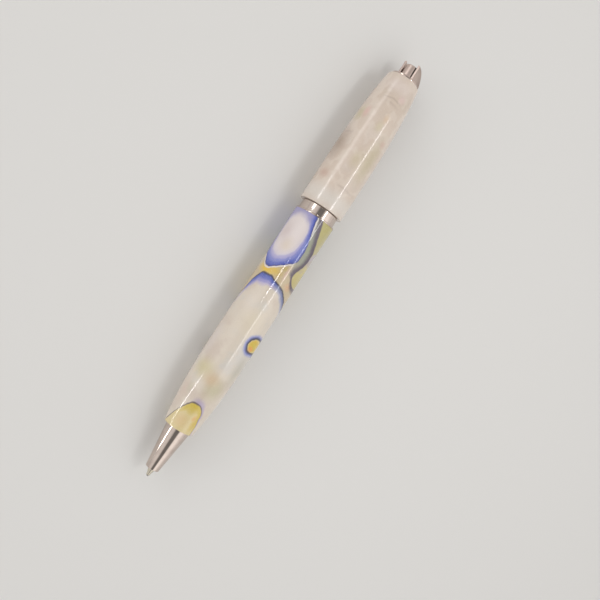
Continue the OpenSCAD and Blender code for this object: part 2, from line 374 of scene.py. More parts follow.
def lower_resin_group():
    """Cast resin of the lower barrel: white cells rimmed with blue, yellow between them."""
    tree, _, end = new_group("lower_resin_pattern", [], [("Color", COLOUR), ("Flake", VALUE)])
    spot = use_group(tree, PEN_PLACE)
    place = spot["Place"]
    wobble = grain(tree, place, 0.45, 3.0) - 0.5
    drift = grain(tree, place, 0.45, 3.0, shift=31.0) - 0.5
    around = spot["Around"] + wobble * 7.0
    along = spot["Along"] + drift * 0.9

    # Ground: warm white, greener and pinker in places
    tone = grain(tree, place, 0.16, 3.0, shift=7.0)
    ground = bands(
        tree, tone, [(0.3, (213, 198, 184)), (0.5, (223, 211, 196)), (0.7, (215, 209, 201))]
    )
    ground = patches(tree, ground, around, along, (
        (-30, 46, 27.2, 3.8, (207, 195, 148), 0.75),
        (26, 42, 24.0, 4.8, (192, 184, 148), 0.78),
        (4, 34, 25.8, 2.8, (216, 188, 152), 0.7),
        (-36, 16, 21.5, 2.2, (196, 192, 170), 0.5),
        (-58, 30, 34.0, 7.0, (220, 208, 202), 0.7),
        (-52, 30, 20.0, 5.0, (214, 192, 178), 0.6),
        (10, 50, 42.0, 6.0, (228, 216, 194), 0.7),
        (-20, 40, 46.0, 4.0, (229, 217, 204), 0.6),
        (58, 30, 30.0, 6.0, (192, 186, 170), 0.7),
        (150, 44, 31.0, 6.0, (204, 196, 158), 0.6),
        (-125, 36, 20.0, 5.0, (213, 197, 178), 0.6),
    ))

    # Between the cells: orange and yellow to the left, cream, then grey-green up the right
    between = layer(tree, paint(203, 184, 150), paint(152, 154, 138), along.rise(56.5, 60.0))
    between = patches(tree, between, around, along, (
        (-74, 18, 55.0, 3.4, (206, 198, 186), 0.9),
        (-34, 42, 54.0, 1.9, (234, 194, 62), 1.0),
        (-14, 30, 54.9, 1.7, (224, 189, 76), 0.9),
        (8, 12, 56.4, 1.1, (198, 176, 112), 0.8),
        (17, 7, 55.4, 2.6, (218, 180, 168), 0.6),
        (43, 18, 53.0, 1.3, (216, 174, 136), 0.9),
        (29, 11, 57.4, 3.2, (150, 146, 136), 0.85),
        (25, 5, 60.9, 1.4, (204, 176, 160), 0.6),
        (14, 9, 68.0, 3.5, (196, 196, 190), 0.8),
        (33, 10, 63.5, 3.0, (150, 158, 126), 0.7),
        (110, 40, 50.0, 3.0, (214, 184, 90), 0.9),
        (-120, 30, 50.0, 4.0, (221, 190, 84), 0.9),
        (180, 30, 48.0, 3.0, (206, 190, 120), 0.8),
    ))

    # The large lower cell takes the rest of the barrel below its wavy upper edge
    low_edge = around.follow(
        [(-180, 44.0), (-150, 43.0), (-120, 43.5), (-90, 45.0), (-70, 47.3), (-58, 50.3),
         (-45, 52.3), (-33, 53.3), (-15, 53.3), (0, 52.8), (20, 52.4), (40, 51.4),
         (55, 50.2), (70, 49.1), (95, 47.0), (130, 46.5), (160, 45.0), (180, 44.0)]
    )
    low_depth = low_edge - along
    low_width = around.follow(
        [(-180, 2.6), (-90, 2.4), (-60, 2.8), (-35, 2.8), (-10, 2.3), (15, 1.7),
         (45, 2.0), (80, 2.0), (130, 2.4), (180, 2.6)]
    )
    rim = low_depth / low_width
    rim_cool = bands(
        tree, rim, [(0.0, (62, 66, 112)), (0.15, (76, 92, 178)), (0.4, (98, 110, 190)),
                    (0.75, (158, 154, 206)), (1.0, (192, 182, 210)), (1.3, (210, 200, 204))]
    )
    rim_grey = bands(
        tree, rim, [(0.0, (58, 58, 72)), (0.22, (98, 106, 148)), (0.5, (136, 142, 178)),
                    (0.8, (184, 180, 196)), (1.15, (212, 204, 192))]
    )
    rim_colour = layer(tree, rim_cool, rim_grey, around.rise(-5.0, 25.0))
    faded = (around.rise(-52.0, -70.0) * along.rise(49.0, 46.0)) * 0.75
    lower_cell = layer(tree, rim_colour, ground, rim.rise(0.8, 1.35).most(faded))
    colour = layer(tree, between, lower_cell, low_depth.rise(-0.12, 0.12))
    edge_line = low_depth.rise(-0.35, -0.02) * low_depth.rise(0.45, 0.12)
    colour = layer(tree, colour, paint(58, 56, 74), edge_line * 0.85)

    # The cell beyond the dark line at the right
    line_at = along.follow(
        [(50.0, 35), (55.4, 35.5), (56.6, 37), (58.0, 43.5), (59.3, 51), (60.5, 54.5),
         (61.7, 55), (64.0, 48.5), (67.0, 36.0), (70.5, 21.0)]
    )
    line_low = around.follow([(20, 57.5), (36, 55.6), (42, 54.6), (50, 53.9), (60, 53.5),
                              (75, 53.3), (95, 53.6), (120, 56.0), (140, 60.0)])
    right_depth = ((around - line_at) * (DEGREE * 0.82)).least(along - line_low, 0.6)
    right_depth = right_depth.least((132.0 - around) * DEGREE, 0.6)
    swirl = along + drift * 5.0 - (around - 58.0).most(0.0) * 0.05
    right_fill = bands(
        tree, swirl, [(53.0, (196, 182, 118)), (57.5, (203, 190, 128)), (60.0, (186, 172, 160)),
                      (61.8, (184, 174, 184)), (63.2, (188, 178, 132)), (70.0, (186, 176, 108))]
    )
    right_fill = patches(
        tree, right_fill, around, along, [(72, 14, 52.0, 2.4, (158, 152, 160), 1.0)]
    )
    colour = layer(tree, colour, right_fill, right_depth.rise(-0.1, 0.2))
    dark_line = right_depth.rise(-1.5, -0.3) * right_depth.rise(0.3, 0.02)
    colour = layer(tree, colour, paint(82, 68, 88), dark_line * 0.95)

    # The upper cell: a boundary, and an oval white middle inside a broad blue rim
    up_low = around.follow(
        [(-180, 75.0), (-142, 75.0), (-128, 67.0), (-105, 60.8), (-80, 58.2), (-66, 56.9),
         (-50, 55.2), (-38, 54.7), (-24, 55.3), (0, 57.0), (12, 57.9), (20, 58.5),
         (28, 60.0), (36, 66.0), (48, 75.0), (180, 75.0)]
    )
    up_right = along.follow(
        [(54.0, 22.0), (58.3, 23.0), (59.5, 26.5), (61.3, 28.0), (63.0, 25.5), (66.0, 17.5),
         (68.0, 12.0), (70.5, 5.0)]
    )
    up_depth = (along - up_low).least((up_right - around) * DEGREE, 0.5)
    oval = oval_reach(around, along, -32, 42, 38, 64.2, 5.6, 5.4)
    outside = (oval - 1.0).most(0.0) * 3.6
    share = up_depth.most(0.0) / (up_depth + outside).most(0.01)
    up_rim = bands(
        tree, share, [(0.0, (54, 54, 104)), (0.08, (64, 76, 162)), (0.33, (90, 104, 190)),
                      (0.6, (136, 141, 206)), (0.84, (182, 176, 216)), (1.0, (216, 208, 218))]
    )
    up_rim = layer(
        tree, up_rim, paint(150, 144, 190), along.rise(66.5, 69.5) * around.rise(6.0, -14.0) * 0.8
    )
    up_rim = layer(tree, up_rim, paint(140, 134, 180), around.rise(-62.0, -80.0) * 0.7)
    up_middle = patches(tree, paint(230, 219, 217), around, along, (
        (-52, 30, 64.2, 3.8, (214, 198, 196), 0.7),
        (-24, 26, 61.2, 3.2, (224, 209, 194), 0.8),
    ))
    up_cell = layer(tree, up_rim, up_middle, oval.rise(1.12, 0.72))
    white_line = up_depth.rise(-0.55, -0.3) * up_depth.rise(0.0, -0.12)
    white_share = around.rise(-90.0, -70.0) * around.rise(24.0, 14.0)
    colour = layer(tree, colour, paint(232, 224, 222), white_line * white_share * 0.95)
    colour = layer(tree, colour, up_cell, up_depth.rise(-0.1, 0.08))

    # Round the back: another white cell with a blue rim
    back = oval_reach(around, along, -172, 40, 34, 58.5, 9.0, 9.5)
    back_cell = bands(
        tree, back, [(0.0, (214, 205, 204)), (0.66, (212, 203, 206)), (0.78, (166, 160, 204)),
                     (0.9, (84, 98, 182)), (0.97, (52, 56, 108)), (1.03, (224, 216, 216))]
    )
    colour = layer(tree, colour, back_cell, back.rise(1.05, 1.0))

    # The eyes, one in front and two round the back: yellow in a navy ring with a blue halo
    for centre, left, right, height, below, above in (
        (53, 20, 42, 37.2, 2.0, 2.05),
        (-128, 17, 15, 31.0, 1.6, 1.8),
        (165, 14, 16, 22.0, 1.7, 1.6),
    ):
        reach = oval_reach(around, along, centre, left, right, height, below, above)
        ring = bands(
            tree, reach, [(0.0, (212, 188, 46)), (0.6, (216, 184, 52)), (0.74, (224, 194, 92)),
                          (0.83, (204, 184, 132)), (0.89, (62, 58, 72)), (1.02, (48, 48, 72)),
                          (1.11, (92, 98, 158)), (1.3, (150, 155, 206)), (1.68, (208, 200, 202))]
        )
        orange = round_blob(around, along, centre - 2, left * 0.7, height - 0.9, 1.2)
        ring = layer(tree, ring, paint(232, 158, 68), orange)
        colour = layer(tree, colour, ring, reach.rise(1.68, 1.2))

    # The yellow foot of the barrel, with a thin dark outline and a lilac halo
    foot_top = around.follow(
        [(-180, 16.0), (-160, 17.5), (-135, 16.0), (-110, 11.0), (-80, 10.5), (-65, 12.0),
         (-50, 13.5), (-38, 15.2), (-25, 17.0), (-12, 18.4), (0, 19.1), (12, 19.2), (24, 18.8),
         (34, 17.7), (42, 16.0), (49, 14.0), (60, 10.5), (110, 10.5), (140, 12.5), (180, 16.0)]
    )
    foot_depth = foot_top - along
    foot = patches(
        tree, paint(224, 206, 154), around, along, [(-6, 34, 14.0, 2.8, (224, 196, 148), 0.8)]
    )
    foot = layer(
        tree, foot, paint(212, 188, 82), foot_depth.rise(2.6, 0.9) * around.rise(-34.0, -12.0)
    )
    foot = patches(tree, foot, around, along, (
        (36, 16, 14.6, 3.6, (214, 186, 84), 0.95),
        (4, 26, 17.2, 1.4, (212, 188, 92), 0.7),
        (26, 11, 15.9, 1.3, (228, 174, 94), 0.7),
        (-150, 40, 13.5, 3.0, (214, 188, 96), 0.9),
    ))
    halo = foot_depth.rise(-2.1, -0.5) * around.rise(-15.0, 12.0) * around.rise(75.0, 50.0)
    colour = layer(tree, colour, paint(172, 158, 194), halo * 0.75)
    colour = layer(tree, colour, foot, foot_depth.rise(-0.15, 0.15))
    foot_line = foot_depth.rise(-0.42, -0.1) * foot_depth.rise(0.3, 0.02)
    colour = layer(tree, colour, paint(104, 92, 94), foot_line * around.rise(64.0, 40.0) * 0.9)

    colour, flake = mica(tree, place, colour, 3.2, (242, 236, 229), 0.22, (128, 120, 124))
    tree.links.new(colour.socket, end.inputs["Color"])
    tree.links.new(flake.socket, end.inputs["Flake"])
    return tree


def cap_resin_group():
    """Pearl resin of the upper barrel: folded silky layers in warm white."""
    tree, _, end = new_group("cap_resin_pattern", [], [("Color", COLOUR), ("Flake", VALUE)])
    spot = use_group(tree, PEN_PLACE)
    place, around, along = spot["Place"], spot["Around"], spot["Along"]
    fold = grain(tree, place, 0.11, 3.0, 0.55, stretch=(1, 1, 0.8), shift=4.0)
    silk = (fold * 46.0 + along * 0.35).math("SINE") * 0.5 + 0.5
    colour = bands(
        tree, fold, [(0.3, (206, 189, 172)), (0.5, (217, 200, 185)), (0.7, (213, 200, 190))]
    )
    colour = layer(tree, colour, paint(233, 221, 209), silk.rise(0.35, 1.0) * 0.35)
    colour = patches(tree, colour, around, along, (
        # The first patch, brown on the left, is partly a dark fold in the resin and partly painted
        # shade at the barrel's edge
        (-63, 44, 88.0, 7.0, (162, 140, 122), 0.85),
        (-58, 26, 96.8, 3.4, (190, 178, 138), 0.7),
        (38, 30, 88.0, 10.0, (190, 177, 142), 0.75),
        (-40, 14, 97.6, 2.3, (221, 180, 171), 0.65),
        (26, 18, 104.2, 1.6, (222, 190, 186), 0.6),
        (16, 12, 98.2, 2.0, (226, 198, 168), 0.6),
        (-46, 28, 80.2, 1.8, (200, 166, 150), 0.65),
        (46, 16, 93.0, 1.6, (210, 174, 160), 0.5),
        (6, 20, 86.5, 3.6, (206, 194, 160), 0.5),
        (10, 16, 95.8, 2.2, (208, 196, 160), 0.5),
        (0, 80, 106.5, 3.2, (224, 209, 200), 0.8),
        (10, 200, 75.4, 3.8, (223, 216, 208), 0.85),
        (140, 40, 95.0, 6.0, (200, 190, 164), 0.6),
        (-140, 40, 84.0, 6.0, (208, 193, 184), 0.6),
        (180, 40, 103.0, 4.0, (196, 181, 170), 0.5),
    ))

    # Thin darker folds, each part of the way round: height, half thickness, sides, share
    sway = (grain(tree, place, 0.3, 2.0, shift=12.0) - 0.5) * 1.4
    for height, tall, from_side, to_side, share in (
        (103.0, 0.26, -18, 26, 0.3), (101.8, 0.3, -8, 28, 0.2), (79.2, 0.32, 4, 55, 0.2),
        (91.5, 0.3, -85, -45, 0.25), (88.6, 0.3, 60, 120, 0.25), (96.0, 0.3, 110, 179, 0.3),
    ):
        off = ((along + sway - height) / tall).math("ABSOLUTE")
        stretch = around.rise(from_side - 12, from_side + 12)
        stretch = stretch * around.rise(to_side + 12, to_side - 12)
        colour = layer(tree, colour, paint(158, 138, 126), off.rise(1.6, 0.0) * stretch * share)

    colour, flake = mica(tree, place, colour, 2.6, (244, 236, 228), 0.25, (150, 136, 126))
    tree.links.new(colour.socket, end.inputs["Color"])
    tree.links.new(flake.socket, end.inputs["Flake"])
    return tree


def polish_group():
    """What polishing and handling leave: fine rings round the axis and soft smudges."""
    tree, given, end = new_group(
        "polish_marks",
        [("Ring Depth", 0.3), ("Smudge", 0.1), ("Base", 0.1)],
        [("Roughness", VALUE), ("Height", VALUE)],
    )
    spot = use_group(tree, PEN_PLACE)
    rings = grain(tree, spot["Place"], 1.0, 3.0, 0.6, stretch=(0.25, 0.25, 14.0))
    wave = grain(tree, spot["Place"], 0.5, 1.0)
    smudge = grain(tree, spot["Place"], 0.7, 4.0, 0.6, shift=19.0).rise(0.48, 0.72)
    scratch = grain(tree, spot["Place"], 2.2, 2.0, 0.7, stretch=(1.0, 1.0, 7.0), shift=3.0)
    roughness = given["Base"] + smudge * given["Smudge"] + scratch.rise(0.62, 0.8) * 0.05
    height = rings * given["Ring Depth"] + wave
    tree.links.new(roughness.socket, end.inputs["Roughness"])
    tree.links.new(height.socket, end.inputs["Height"])
    return tree


def worn_metal_group():
    """How dull a metal is: 0 where it is rubbed clean, more in soft patches."""
    tree, given, end = new_group(
        "worn_metal", [("Patch Size", 0.5), ("Dulling", 0.5)], [("Dull", VALUE)]
    )
    spot = use_group(tree, PEN_PLACE)
    noise = tree.nodes.new("ShaderNodeTexNoise")
    noise.inputs["Detail"].default_value = 4.0
    feed(tree, spot["Place"], noise.inputs["Vector"])
    feed(tree, given["Patch Size"], noise.inputs["Scale"])
    dull = Field(tree, noise.outputs["Fac"]).rise(0.4, 0.75) * given["Dulling"]
    tree.links.new(dull.socket, end.inputs["Dull"])
    return tree


POLISH = polish_group()
WORN_METAL = worn_metal_group()


# ---- Materials ----

POLISHED = 0.07  # roughness of polished chrome and of the resin's clear skin


def new_material(name, **constants):
    """A material and its shader, with values that are the same all over the surface."""
    material = bpy.data.materials.new(name)
    material.use_nodes = True
    shader = material.node_tree.nodes["Principled BSDF"]
    for label, value in constants.items():
        shader.inputs[label.replace("_", " ")].default_value = value
    return material, material.node_tree, shader


def raise_surface(tree, shader, height, distance):
    """Bumps the shader's normal by this height, 1 being this many millimetres."""
    bump = tree.nodes.new("ShaderNodeBump")
    bump.inputs["Distance"].default_value = distance * MM
    feed(tree, height, bump.inputs["Height"])
    tree.links.new(bump.outputs[0], shader.inputs["Normal"])


def resin_material(name, pattern):
    """Polished cast resin: a satin pearl body under a clear, glossy skin."""
    material, tree, shader = new_material(
        name, IOR=1.5, Coat_Weight=1.0, Coat_Roughness=POLISHED, Coat_IOR=1.5
    )
    resin = use_group(tree, pattern)
    marks = use_group(tree, POLISH, Ring_Depth=0.03, Smudge=0.05, Base=0.34)
    feed(tree, resin["Color"], shader.inputs["Base Color"])
    feed(tree, marks["Roughness"] + resin["Flake"] * 0.1, shader.inputs["Roughness"])
    raise_surface(tree, shader, marks["Height"], 0.004)
    return material


def painted_gap_shade(spot):
    """Painted shade: 1 on the metal in the gap between the finial and the clip's head, where the
    colour is darkened to stand in for the shade in that crevice.
    """
    out, around, along = spot["Out"], spot["Around"], spot["Along"]
    # From the finial's side out to the pocket's wall, but not the head's front edge beyond it
    gap_shade = out.rise(CLIP_POCKET_R - 0.56, CLIP_POCKET_R - 0.46)
    gap_shade = gap_shade * out.rise(CLIP_POCKET_R + 0.05, CLIP_POCKET_R + 0.02)
    # Painted shade only on the side where the view looks into the gap
    gap_shade = gap_shade * around.rise(20.0, 28.0) * around.rise(170.0, 150.0)
    # Between the seat plate and the top of the head
    return gap_shade * along.rise(HEAD_TOP, HEAD_TOP - 0.7) * along.rise(CAP_TOP, SEAT_TOP)


def metal_material(
    name, clean, dull, roughness, patch=0.5, dulling=0.5, rings=0.3, depth=0.004, on_clip=False
):
    """Turned or plated metal with patches of duller finish, smudges and fine turning rings.

    On the clip, shade is painted dark brown in the gap round the finial, and below the head it is
    polished.
    """
    material, tree, shader = new_material(name, Metallic=1.0)
    worn = use_group(tree, WORN_METAL, Patch_Size=patch, Dulling=dulling)
    marks = use_group(tree, POLISH, Ring_Depth=rings, Smudge=0.08, Base=roughness)
    colour = layer(tree, paint(*clean), paint(*dull), worn["Dull"])
    finish = marks["Roughness"]
    if on_clip:
        spot = use_group(tree, PEN_PLACE)
        # Painted shade: dark brown laid in the gap round the finial
        colour = layer(tree, colour, paint(46, 36, 30), painted_gap_shade(spot) * 0.9)
        polished = spot["Along"].rise(SEAT_TOP + 0.15, SEAT_TOP)
        finish = finish - polished * (roughness - POLISHED)
    feed(tree, colour, shader.inputs["Base Color"])
    feed(tree, finish, shader.inputs["Roughness"])
    raise_surface(tree, shader, marks["Height"], depth)
    return material


def moulded_material(name, light, dark, roughness):
    """Moulded plastic, very slightly cloudy, with a fine satin grain."""
    material, tree, shader = new_material(name, IOR=1.48)
    spot = use_group(tree, PEN_PLACE)
    cloud = grain(tree, spot["Place"], 0.8, 3.0)
    fine = grain(tree, spot["Place"], 9.0, 3.0)
    feed(
        tree, layer(tree, paint(*dark), paint(*light), cloud.rise(0.3, 0.7)),
        shader.inputs["Base Color"],
    )
    feed(tree, fine * 0.12 + roughness, shader.inputs["Roughness"])
    raise_surface(tree, shader, fine, 0.01)
    return material


LOWER_RESIN = resin_material("lower_resin", lower_resin_group())
CAP_RESIN = resin_material("cap_resin", cap_resin_group())
# The warm pinkish tint of both chromes is a painted reflection of a warm room, not the plating's
# own colour
CHROME = metal_material(
    "chrome_plate", (212, 198, 189), (192, 177, 168), POLISHED, rings=0.08, depth=0.002
)
HEAD_CHROME = metal_material(
    "satin_chrome", (206, 188, 179), (190, 172, 163), 0.36, rings=0.08, depth=0.002, on_clip=True
)
BRASS = metal_material(
    "drawn_brass", (214, 182, 112), (176, 138, 78), 0.22,
    patch=0.9, dulling=0.7, rings=1.0, depth=0.01,
)
STEEL = metal_material(
    "turned_steel", (200, 199, 197), (160, 157, 153), 0.2,
    patch=0.9, dulling=0.6, rings=1.0, depth=0.01,
)
NICKEL = metal_material(
    "nickel_silver", (214, 207, 190), (178, 168, 148), 0.14,
    patch=0.9, dulling=0.5, rings=0.8, depth=0.006,
)
CARBIDE = metal_material(
    "hard_ball", (150, 148, 150), (110, 108, 112), 0.12, patch=2.0, rings=0.0
)
ACETAL = moulded_material("natural_acetal", (226, 223, 214), (210, 206, 195), 0.32)
INK = moulded_material("ink_paste", (24, 30, 104), (12, 14, 60), 0.22)


# ---- Modelling ----


def soften(corners, steps=5):
    """The outline with each corner (radius, height, rounding) rounded off."""
    outline = []
    count = len(corners)
    for i, (x, y, rounding) in enumerate(corners):
        here = Vector((x, y))
        if not rounding or i in (0, count - 1):
            outline.append((x, y))
            continue
        before = Vector(corners[i - 1][:2]) - here
        after = Vector(corners[i + 1][:2]) - here
        reach = min(rounding, before.length * 0.49, after.length * 0.49)
        start, stop = here + before.normalized() * reach, here + after.normalized() * reach
        for step in range(steps + 1):
            t = step / steps
            outline.append(tuple(start * (1 - t) ** 2 + here * 2 * t * (1 - t) + stop * t**2))
    return outline


def shade(shape, sharp_angle=32):
    """Smooth faces, with an edge kept where two of them meet at more than the angle."""
    for face in shape.faces:
        face.smooth = True
    for edge in shape.edges:
        edge.smooth = edge.calc_face_angle(0) < math.radians(sharp_angle)


def as_object(name, shape):
    """Makes the shape an object of this name in the scene."""
    mesh = bpy.data.meshes.new(name)
    shape.to_mesh(mesh)
    shape.free()
    made = bpy.data.objects.new(name, mesh)
    bpy.context.scene.collection.objects.link(made)
    return made


def place_piece(name, shape, body, slot, material, *nodes):
    """Puts a finished shape in the frame as a piece that rides on a body."""
    bmesh.ops.transform(shape, matrix=LAY, verts=shape.verts)
    piece = as_object(name, shape)
    piece.data.materials.append(material)
    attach(piece, body)
    if nodes:
        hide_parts(*nodes)


def turned(outline, closed=True, steps=144):
    """A shape turned on the pen's axis from an outline of (radius, height)."""
    shape = bmesh.new()
    points = [shape.verts.new((radius, 0, height)) for radius, height in outline]
    pairs = list(zip(points, points[1:])) + ([(points[-1], points[0])] if closed else [])
    edges = [shape.edges.new(pair) for pair in pairs]
    bmesh.ops.spin(
        shape, geom=points + edges, cent=(0, 0, 0), axis=(0, 0, 1), angle=math.tau,
        steps=steps, use_merge=True, use_duplicate=False,
    )
    bmesh.ops.remove_doubles(shape, verts=shape.verts, dist=1e-4)
    bmesh.ops.recalc_face_normals(shape, faces=shape.faces)
    shade(shape)
    return shape


def lower_barrel():
    length = RING_BASE - LOWER_BASE
    steps = 44
    heights = [BEVEL + i * (length - 2 * BEVEL) / steps for i in range(steps + 1)]
    side = [(lower_radius(height), height) for height in heights]
    outline = [(LOWER_TUBE_R, 0)] + soften(
        [(LOWER_TUBE_R, 0, 0), (side[0][0], 0, 0.18), (*side[0], 0)])[1:]
    outline += side[1:-1]
    outline += soften([(*side[-1], 0), (side[-1][0], length, 0.1), (LOWER_TUBE_R, length, 0)])
    return turned([(radius, LOWER_BASE + height) for radius, height in outline])


def nose_cone():
    spigot_top = LOWER_BASE + NOSE_SPIGOT_LEN
    guide_cone_len, mouth_rounding = 0.6, 0.16
    cone_top = NOSE_GUIDE_LEN + guide_cone_len
    return turned(soften([
        (NOSE_GUIDE_R, 0.05, 0), (NOSE_MOUTH_R - 0.02, 0, mouth_rounding),
        (NOSE_BASE_R, LOWER_BASE, 0.14),
        (LOWER_BORE_R, LOWER_BASE, 0), (LOWER_BORE_R, spigot_top, 0),
        (SPIGOT_BORE_R, spigot_top, 0), (SPIGOT_BORE_R, cone_top, 0),
        (NOSE_GUIDE_R, NOSE_GUIDE_LEN, 0)]))


def trim_ring():
    return turned(soften([
        (LOWER_BORE_R, RING_BASE, 0), (LOWER_HEAD_R, RING_BASE, 0.1),
        (LOWER_HEAD_R, BAND_BASE, 0.14), (LOWER_BORE_R, BAND_BASE, 0)]))


def centre_band():
    return turned(soften([
        (LOWER_BORE_R, BAND_BASE, 0), (BAND_R - 0.06, BAND_BASE, 0),
        (BAND_R, BAND_BASE + 0.1, 0.08), (BAND_R, BAND_TOP, 0.14), (LOWER_BORE_R, BAND_TOP, 0)]))


def upper_barrel():
    length = CAP_TOP - CAP_BASE
    edge_h = length - CAP_EDGE_R
    rim_h, side_h = 1.0, 1.5
    steps = 40
    outline = soften([(UPPER_TUBE_R, 0, 0), (CAP_RIM_R, 0, 0.14), (CAP_RIM_R, rim_h, 0)])
    for i in range(steps + 1):
        height = side_h + i * (edge_h - side_h) / steps
        outline.append((cap_radius(height), height))
    edge = cap_radius(edge_h) - CAP_EDGE_R
    for angle in range(15, 91, 15):
        turn = math.radians(angle)
        outline.append((edge + CAP_EDGE_R * math.cos(turn), edge_h + CAP_EDGE_R * math.sin(turn)))
    outline.append((UPPER_TUBE_R, length))
    return turned([(radius, CAP_BASE + height) for radius, height in outline])


def finial():
    foot, top = CAP_TOP - PLUG_LEN, CAP_TOP + FINIAL_H
    taper = 0.15
    dish_r, dish_depth = 0.9, 0.04
    return turned(soften([
        (0, foot, 0), (SHANK_R, foot, 0.1), (SHANK_R, SEAT_TOP, 0), (FINIAL_R, SEAT_TOP, 0),
        (FINIAL_R - taper, top, 0.22), (dish_r, top, 0.1), (0, top - dish_depth, 0)]),
        closed=False)


def bezier(t, a, b, c, d):
    """A point on the curve from a to d, drawn towards b and then c on the way."""
    return tuple(
        (1 - t) ** 3 * a[i] + 3 * t * (1 - t) ** 2 * b[i] + 3 * t**2 * (1 - t) * c[i] + t**3 * d[i]
        for i in (0, 1)
    )


def clip_half_width(height):
    """Half the clip's width at a height above the cap: rounded shoulders, then a taper."""
    head, arm, end = CLIP_HEAD_W / 2, CLIP_ARM_W / 2, CLIP_END_W / 2
    head_foot, arm_top = 1, -4
    shoulder = CLIP_SHOULDER
    if height > CLIP_HEAD_H - shoulder:
        rise = min(1.0, (height - CLIP_HEAD_H + shoulder) / shoulder)
        return head - shoulder + shoulder * math.sqrt(max(0.0, 1 - rise**2))
    if height > head_foot:
        return head
    if height > arm_top:
        return ease((height - arm_top) / (head_foot - arm_top), arm, head, 0, 0)
    return arm + (end - arm) * (arm_top - height) / (CLIP_DROP + arm_top)


def clip_block():
    """The clip's hood and arm: its side outline, given a width that follows the front outline."""
    stand_off, arch_foot = 1.3, -1.5
    arch_out = CAP_HEAD_R + stand_off
    steps = [i / 18 for i in range(19)]
    outer = [bezier(t, (CLIP_FRONT, CLIP_HEAD_H - 0.05), (0.4 * arch_out, CLIP_HEAD_H + 0.1),
                    (arch_out - 0.9, 0.46 * CLIP_HEAD_H), (arch_out, arch_foot)) for t in steps]
    outer = [(x, min(y, CLIP_HEAD_H)) for x, y in outer]
    inner = [bezier(t, (arch_out - CLIP_T, arch_foot), (arch_out - CLIP_T, arch_foot + 1),
                    (CLIP_SEAT_R + 0.35, 0.2), (CLIP_SEAT_R - 0.05, 0.3)) for t in steps]
    arm_steps = 14
    down = [(arch_out + (BALL_OUT + CLIP_T / 2 - arch_out) * i / arm_steps,
             arch_foot + (-CLIP_DROP - arch_foot) * i / arm_steps)
            for i in range(1, arm_steps + 1)]
    up = [(x - CLIP_T, y) for x, y in reversed(down)]
    # The front face goes up in six steps from the foot, which is sunk in the seat plate
    foot, front_steps = 0.1, 6
    front = [(CLIP_FRONT, foot + (CLIP_HEAD_H - 0.3) * i / front_steps)
             for i in range(front_steps + 1)]
    outline = front + outer + down + up + inner + [(2.0, foot)]
    shape = bmesh.new()
    ring = [shape.verts.new((x, -1, y)) for x, y in outline]
    face = shape.faces.new(ring)
    grown = bmesh.ops.extrude_face_region(shape, geom=[face])
    top = [v for v in grown["geom"] if isinstance(v, bmesh.types.BMVert)]
    bmesh.ops.translate(shape, verts=top, vec=(0, 2, 0))
    for vert in shape.verts:
        vert.co.y *= clip_half_width(vert.co.z)
    bmesh.ops.recalc_face_normals(shape, faces=shape.faces)
    # The two flat flanks are the only faces of many corners, and their rims are rounded
    rims = [edge for edge in shape.edges if len(edge.link_faces) == 2 and any(
        len(face.verts) > 6 for face in edge.link_faces)]
    bmesh.ops.bevel(
        shape, geom=rims, offset=0.06, segments=3, profile=0.5, affect="EDGES",
        material=-1, clamp_overlap=True,
    )
    bmesh.ops.transform(shape, matrix=Matrix.Translation((0, 0, CAP_TOP)), verts=shape.verts)
    return shape


def cut_and_join(shape, *tools):
    """The shape after each (operation, other shape) is applied to it."""
    work = as_object("clip_work", shape)
    others = []
    for operation, other in tools:
        tool = as_object("clip_tool", other)
        others.append(tool)
        step = work.modifiers.new("join", "BOOLEAN")
        step.operation, step.object, step.solver = operation, tool, "EXACT"
    graph = bpy.context.evaluated_depsgraph_get()
    result = bmesh.new()
    result.from_object(work, graph)
    for made in [work, *others]:
        bpy.data.objects.remove(made)
    return result


def clip():
    bore_r = SHANK_R + 0.001
    past, below = CAP_TOP + 7, CAP_TOP - 1
    seat = turned(soften([
        (bore_r, CAP_TOP, 0), (CLIP_SEAT_R, CAP_TOP, 0.05), (CLIP_SEAT_R, SEAT_TOP, 0.22),
        (bore_r, SEAT_TOP, 0)]), steps=96)
    pocket = turned([(0, SEAT_TOP), (CLIP_POCKET_R, SEAT_TOP), (CLIP_POCKET_R, past), (0, past)],
                    closed=False, steps=96)
    bore = turned([(0, below), (SHANK_R, below), (SHANK_R, past), (0, past)],
                  closed=False, steps=96)
    shape = cut_and_join(
        clip_block(), ("UNION", seat), ("DIFFERENCE", pocket), ("DIFFERENCE", bore))
    bmesh.ops.remove_doubles(shape, verts=shape.verts, dist=1e-4)
    shade(shape, 30)
    return shape


def ball(radius, place, steps_round, steps_up):
    shape = bmesh.new()
    bmesh.ops.create_uvsphere(shape, u_segments=steps_round, v_segments=steps_up, radius=radius)
    bmesh.ops.translate(shape, verts=shape.verts, vec=place)
    shade(shape)
    return shape


def refill_point():
    """The refill's metal tip: a lip round the ball, a fine stem, a cone and a plug."""
    ball_h = BALL_R - POINT_OUT
    base = TIP_LEN - POINT_OUT
    plug_r, plug_top = REFILL_R - 0.2, base + 2
    return turned(soften([
        (0, ball_h + 0.1, 0), (0.28, ball_h + 0.02, 0), (BALL_R + 0.08, ball_h - 0.02, 0.03),
        (0.62, ball_h + 0.9, 0), (0.7, ball_h + 0.95, 0.03), (REFILL_R, ball_h + 2.6, 0.2),
        (REFILL_R, base, 0), (plug_r, base, 0), (plug_r, plug_top, 0.1),
        (0, plug_top, 0)]), closed=False, steps=96)


